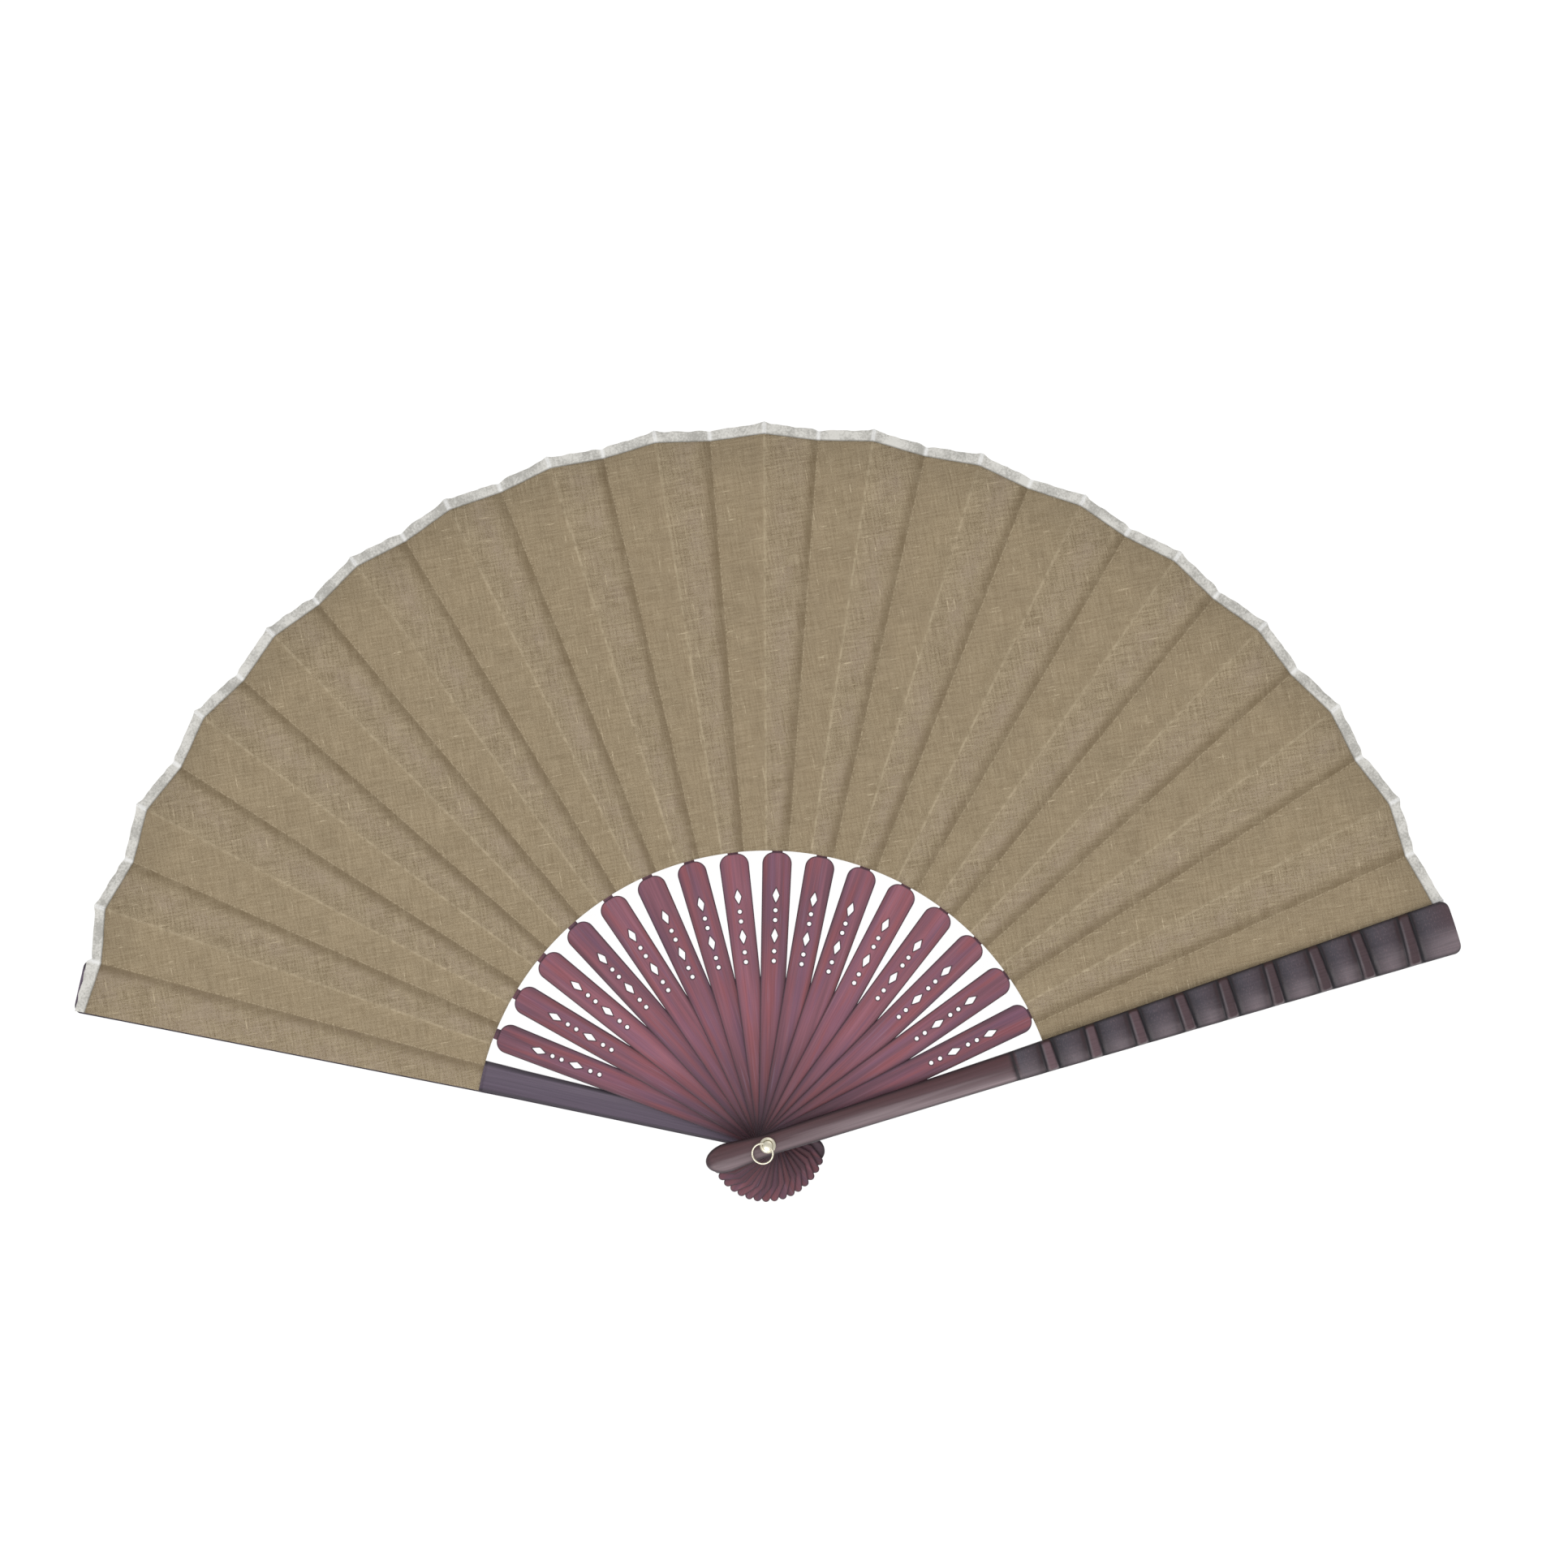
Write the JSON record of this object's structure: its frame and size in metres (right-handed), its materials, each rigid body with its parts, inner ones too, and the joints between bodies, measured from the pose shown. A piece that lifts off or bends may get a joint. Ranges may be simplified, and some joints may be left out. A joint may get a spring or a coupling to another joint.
{
  "type": "folding hand fan",
  "caption": "Folding hand fan with pierced ribs, two carved guards on one rivet, and a pleated cloth leaf with a bound edge. It closes to a slim bundle.",
  "frame": {"origin": "centre of the rivet's flat end, on the table the open fan lies on", "axes": "+Z along the rivet, from the back guard up to the front guard; +Y along the middle of the open leaf; +X towards the front guard's side"},
  "size_m": [0.414, 0.2297, 0.0252],
  "materials": {
    "rib_bamboo": "dyed and oiled, satin",
    "guard_bamboo": "dyed, carved and waxed, satin",
    "linen": "plain weave with slubs",
    "binding": "folded strip of mottled white fibre",
    "rivet_metal": "polished"
  },
  "bodies": {
    "back_guard": {"back_guard": "guard_bamboo", "rivet": "rivet_metal", "back_washer": "rivet_metal", "front_washer": "rivet_metal", "leaf_panel_back_guard": "linen"},
    "rib_01": {"rib_01": "rib_bamboo", "leaf_panel_01": "linen"},
    "rib_02": {"rib_02": "rib_bamboo", "leaf_panel_02": "linen"},
    "rib_03": {"rib_03": "rib_bamboo", "leaf_panel_03": "linen"},
    "rib_04": {"rib_04": "rib_bamboo", "leaf_panel_04": "linen"},
    "rib_05": {"rib_05": "rib_bamboo", "leaf_panel_05": "linen"},
    "rib_06": {"rib_06": "rib_bamboo", "leaf_panel_06": "linen"},
    "rib_07": {"rib_07": "rib_bamboo", "leaf_panel_07": "linen"},
    "rib_08": {"rib_08": "rib_bamboo", "leaf_panel_08": "linen"},
    "rib_09": {"rib_09": "rib_bamboo", "leaf_panel_09": "linen"},
    "rib_10": {"rib_10": "rib_bamboo", "leaf_panel_10": "linen"},
    "rib_11": {"rib_11": "rib_bamboo", "leaf_panel_11": "linen"},
    "rib_12": {"rib_12": "rib_bamboo", "leaf_panel_12": "linen"},
    "rib_13": {"rib_13": "rib_bamboo", "leaf_panel_13": "linen"},
    "rib_14": {"rib_14": "rib_bamboo", "leaf_panel_14": "linen"},
    "rib_15": {"rib_15": "rib_bamboo", "leaf_panel_15": "linen"},
    "rib_16": {"rib_16": "rib_bamboo", "leaf_panel_16": "linen"},
    "front_guard": {"front_guard": "guard_bamboo", "leaf_panel_front_guard": "linen"},
    "pleat_01": {"leaf_pleat_01": "linen"},
    "pleat_02": {"leaf_pleat_02": "linen"},
    "pleat_03": {"leaf_pleat_03": "linen"},
    "pleat_04": {"leaf_pleat_04": "linen"},
    "pleat_05": {"leaf_pleat_05": "linen"},
    "pleat_06": {"leaf_pleat_06": "linen"},
    "pleat_07": {"leaf_pleat_07": "linen"},
    "pleat_08": {"leaf_pleat_08": "linen"},
    "pleat_09": {"leaf_pleat_09": "linen"},
    "pleat_10": {"leaf_pleat_10": "linen"},
    "pleat_11": {"leaf_pleat_11": "linen"},
    "pleat_12": {"leaf_pleat_12": "linen"},
    "pleat_13": {"leaf_pleat_13": "linen"},
    "pleat_14": {"leaf_pleat_14": "linen"},
    "pleat_15": {"leaf_pleat_15": "linen"},
    "pleat_16": {"leaf_pleat_16": "linen"},
    "pleat_17": {"leaf_pleat_17": "linen"},
    "tassel_ring": {"tassel_ring": "rivet_metal"}
  },
  "joints": [
    {"name": "stick_01_hinge", "type": "hinge", "parent": "back_guard", "child": "rib_01", "pos_m": [0, 0, 0], "axis": [0, 0, 1], "range_deg": [0, 8.8]},
    {"name": "stick_02_hinge", "type": "hinge", "parent": "rib_01", "child": "rib_02", "pos_m": [0, 0, 0], "axis": [0, 0, 1], "range_deg": [0, 8.8]},
    {"name": "stick_03_hinge", "type": "hinge", "parent": "rib_02", "child": "rib_03", "pos_m": [0, 0, 0], "axis": [0, 0, 1], "range_deg": [0, 8.8]},
    {"name": "stick_04_hinge", "type": "hinge", "parent": "rib_03", "child": "rib_04", "pos_m": [0, 0, 0], "axis": [0, 0, 1], "range_deg": [0, 8.8]},
    {"name": "stick_05_hinge", "type": "hinge", "parent": "rib_04", "child": "rib_05", "pos_m": [0, 0, 0], "axis": [0, 0, 1], "range_deg": [0, 8.8]},
    {"name": "stick_06_hinge", "type": "hinge", "parent": "rib_05", "child": "rib_06", "pos_m": [0, 0, 0], "axis": [0, 0, 1], "range_deg": [0, 8.8]},
    {"name": "stick_07_hinge", "type": "hinge", "parent": "rib_06", "child": "rib_07", "pos_m": [0, 0, 0], "axis": [0, 0, 1], "range_deg": [0, 8.8]},
    {"name": "stick_08_hinge", "type": "hinge", "parent": "rib_07", "child": "rib_08", "pos_m": [0, 0, 0], "axis": [0, 0, 1], "range_deg": [0, 8.8]},
    {"name": "stick_09_hinge", "type": "hinge", "parent": "rib_08", "child": "rib_09", "pos_m": [0, 0, 0], "axis": [0, 0, 1], "range_deg": [0, 8.8]},
    {"name": "stick_10_hinge", "type": "hinge", "parent": "rib_09", "child": "rib_10", "pos_m": [0, 0, 0], "axis": [0, 0, 1], "range_deg": [0, 8.8]},
    {"name": "stick_11_hinge", "type": "hinge", "parent": "rib_10", "child": "rib_11", "pos_m": [0, 0, 0], "axis": [0, 0, 1], "range_deg": [0, 8.8]},
    {"name": "stick_12_hinge", "type": "hinge", "parent": "rib_11", "child": "rib_12", "pos_m": [0, 0, 0], "axis": [0, 0, 1], "range_deg": [0, 8.8]},
    {"name": "stick_13_hinge", "type": "hinge", "parent": "rib_12", "child": "rib_13", "pos_m": [0, 0, 0], "axis": [0, 0, 1], "range_deg": [0, 8.8]},
    {"name": "stick_14_hinge", "type": "hinge", "parent": "rib_13", "child": "rib_14", "pos_m": [0, 0, 0], "axis": [0, 0, 1], "range_deg": [0, 8.8]},
    {"name": "stick_15_hinge", "type": "hinge", "parent": "rib_14", "child": "rib_15", "pos_m": [0, 0, 0], "axis": [0, 0, 1], "range_deg": [0, 8.8]},
    {"name": "stick_16_hinge", "type": "hinge", "parent": "rib_15", "child": "rib_16", "pos_m": [0, 0, 0], "axis": [0, 0, 1], "range_deg": [0, 8.8]},
    {"name": "stick_17_hinge", "type": "hinge", "parent": "rib_16", "child": "front_guard", "pos_m": [0, 0, 0], "axis": [0, 0, 1], "range_deg": [0, 8.8]},
    {"name": "pleat_01_fold", "type": "hinge", "parent": "back_guard", "child": "pleat_01", "pos_m": [0, 0, 0], "axis": [0, 0, 1], "range_deg": [0, 4.4]},
    {"name": "pleat_02_fold", "type": "hinge", "parent": "rib_01", "child": "pleat_02", "pos_m": [0, 0, 0], "axis": [0, 0, 1], "range_deg": [0, 4.4]},
    {"name": "pleat_03_fold", "type": "hinge", "parent": "rib_02", "child": "pleat_03", "pos_m": [0, 0, 0], "axis": [0, 0, 1], "range_deg": [0, 4.4]},
    {"name": "pleat_04_fold", "type": "hinge", "parent": "rib_03", "child": "pleat_04", "pos_m": [0, 0, 0], "axis": [0, 0, 1], "range_deg": [0, 4.4]},
    {"name": "pleat_05_fold", "type": "hinge", "parent": "rib_04", "child": "pleat_05", "pos_m": [0, 0, 0], "axis": [0, 0, 1], "range_deg": [0, 4.4]},
    {"name": "pleat_06_fold", "type": "hinge", "parent": "rib_05", "child": "pleat_06", "pos_m": [0, 0, 0], "axis": [0, 0, 1], "range_deg": [0, 4.4]},
    {"name": "pleat_07_fold", "type": "hinge", "parent": "rib_06", "child": "pleat_07", "pos_m": [0, 0, 0], "axis": [0, 0, 1], "range_deg": [0, 4.4]},
    {"name": "pleat_08_fold", "type": "hinge", "parent": "rib_07", "child": "pleat_08", "pos_m": [0, 0, 0], "axis": [0, 0, 1], "range_deg": [0, 4.4]},
    {"name": "pleat_09_fold", "type": "hinge", "parent": "rib_08", "child": "pleat_09", "pos_m": [0, 0, 0], "axis": [0, 0, 1], "range_deg": [0, 4.4]},
    {"name": "pleat_10_fold", "type": "hinge", "parent": "rib_09", "child": "pleat_10", "pos_m": [0, 0, 0], "axis": [0, 0, 1], "range_deg": [0, 4.4]},
    {"name": "pleat_11_fold", "type": "hinge", "parent": "rib_10", "child": "pleat_11", "pos_m": [0, 0, 0], "axis": [0, 0, 1], "range_deg": [0, 4.4]},
    {"name": "pleat_12_fold", "type": "hinge", "parent": "rib_11", "child": "pleat_12", "pos_m": [0, 0, 0], "axis": [0, 0, 1], "range_deg": [0, 4.4]},
    {"name": "pleat_13_fold", "type": "hinge", "parent": "rib_12", "child": "pleat_13", "pos_m": [0, 0, 0], "axis": [0, 0, 1], "range_deg": [0, 4.4]},
    {"name": "pleat_14_fold", "type": "hinge", "parent": "rib_13", "child": "pleat_14", "pos_m": [0, 0, 0], "axis": [0, 0, 1], "range_deg": [0, 4.4]},
    {"name": "pleat_15_fold", "type": "hinge", "parent": "rib_14", "child": "pleat_15", "pos_m": [0, 0, 0], "axis": [0, 0, 1], "range_deg": [0, 4.4]},
    {"name": "pleat_16_fold", "type": "hinge", "parent": "rib_15", "child": "pleat_16", "pos_m": [0, 0, 0], "axis": [0, 0, 1], "range_deg": [0, 4.4]},
    {"name": "pleat_17_fold", "type": "hinge", "parent": "rib_16", "child": "pleat_17", "pos_m": [0, 0, 0], "axis": [0, 0, 1], "range_deg": [0, 4.4]},
    {"name": "ring_swing", "type": "hinge", "parent": "back_guard", "child": "tassel_ring", "pos_m": [0, 0, 0.02425], "axis": [-0.8192, 0.5736, 0], "range_deg": [0, 204]}
  ],
  "couplings": [
    {"joint": "stick_02_hinge", "follows": "stick_01_hinge", "ratio": 1},
    {"joint": "stick_03_hinge", "follows": "stick_01_hinge", "ratio": 1},
    {"joint": "stick_04_hinge", "follows": "stick_01_hinge", "ratio": 1},
    {"joint": "stick_05_hinge", "follows": "stick_01_hinge", "ratio": 1},
    {"joint": "stick_06_hinge", "follows": "stick_01_hinge", "ratio": 1},
    {"joint": "stick_07_hinge", "follows": "stick_01_hinge", "ratio": 1},
    {"joint": "stick_08_hinge", "follows": "stick_01_hinge", "ratio": 1},
    {"joint": "stick_09_hinge", "follows": "stick_01_hinge", "ratio": 1},
    {"joint": "stick_10_hinge", "follows": "stick_01_hinge", "ratio": 1},
    {"joint": "stick_11_hinge", "follows": "stick_01_hinge", "ratio": 1},
    {"joint": "stick_12_hinge", "follows": "stick_01_hinge", "ratio": 1},
    {"joint": "stick_13_hinge", "follows": "stick_01_hinge", "ratio": 1},
    {"joint": "stick_14_hinge", "follows": "stick_01_hinge", "ratio": 1},
    {"joint": "stick_15_hinge", "follows": "stick_01_hinge", "ratio": 1},
    {"joint": "stick_16_hinge", "follows": "stick_01_hinge", "ratio": 1},
    {"joint": "stick_17_hinge", "follows": "stick_01_hinge", "ratio": 1},
    {"joint": "pleat_01_fold", "follows": "stick_01_hinge", "ratio": 0.5},
    {"joint": "pleat_02_fold", "follows": "stick_01_hinge", "ratio": 0.5},
    {"joint": "pleat_03_fold", "follows": "stick_01_hinge", "ratio": 0.5},
    {"joint": "pleat_04_fold", "follows": "stick_01_hinge", "ratio": 0.5},
    {"joint": "pleat_05_fold", "follows": "stick_01_hinge", "ratio": 0.5},
    {"joint": "pleat_06_fold", "follows": "stick_01_hinge", "ratio": 0.5},
    {"joint": "pleat_07_fold", "follows": "stick_01_hinge", "ratio": 0.5},
    {"joint": "pleat_08_fold", "follows": "stick_01_hinge", "ratio": 0.5},
    {"joint": "pleat_09_fold", "follows": "stick_01_hinge", "ratio": 0.5},
    {"joint": "pleat_10_fold", "follows": "stick_01_hinge", "ratio": 0.5},
    {"joint": "pleat_11_fold", "follows": "stick_01_hinge", "ratio": 0.5},
    {"joint": "pleat_12_fold", "follows": "stick_01_hinge", "ratio": 0.5},
    {"joint": "pleat_13_fold", "follows": "stick_01_hinge", "ratio": 0.5},
    {"joint": "pleat_14_fold", "follows": "stick_01_hinge", "ratio": 0.5},
    {"joint": "pleat_15_fold", "follows": "stick_01_hinge", "ratio": 0.5},
    {"joint": "pleat_16_fold", "follows": "stick_01_hinge", "ratio": 0.5},
    {"joint": "pleat_17_fold", "follows": "stick_01_hinge", "ratio": 0.5}
  ]
}
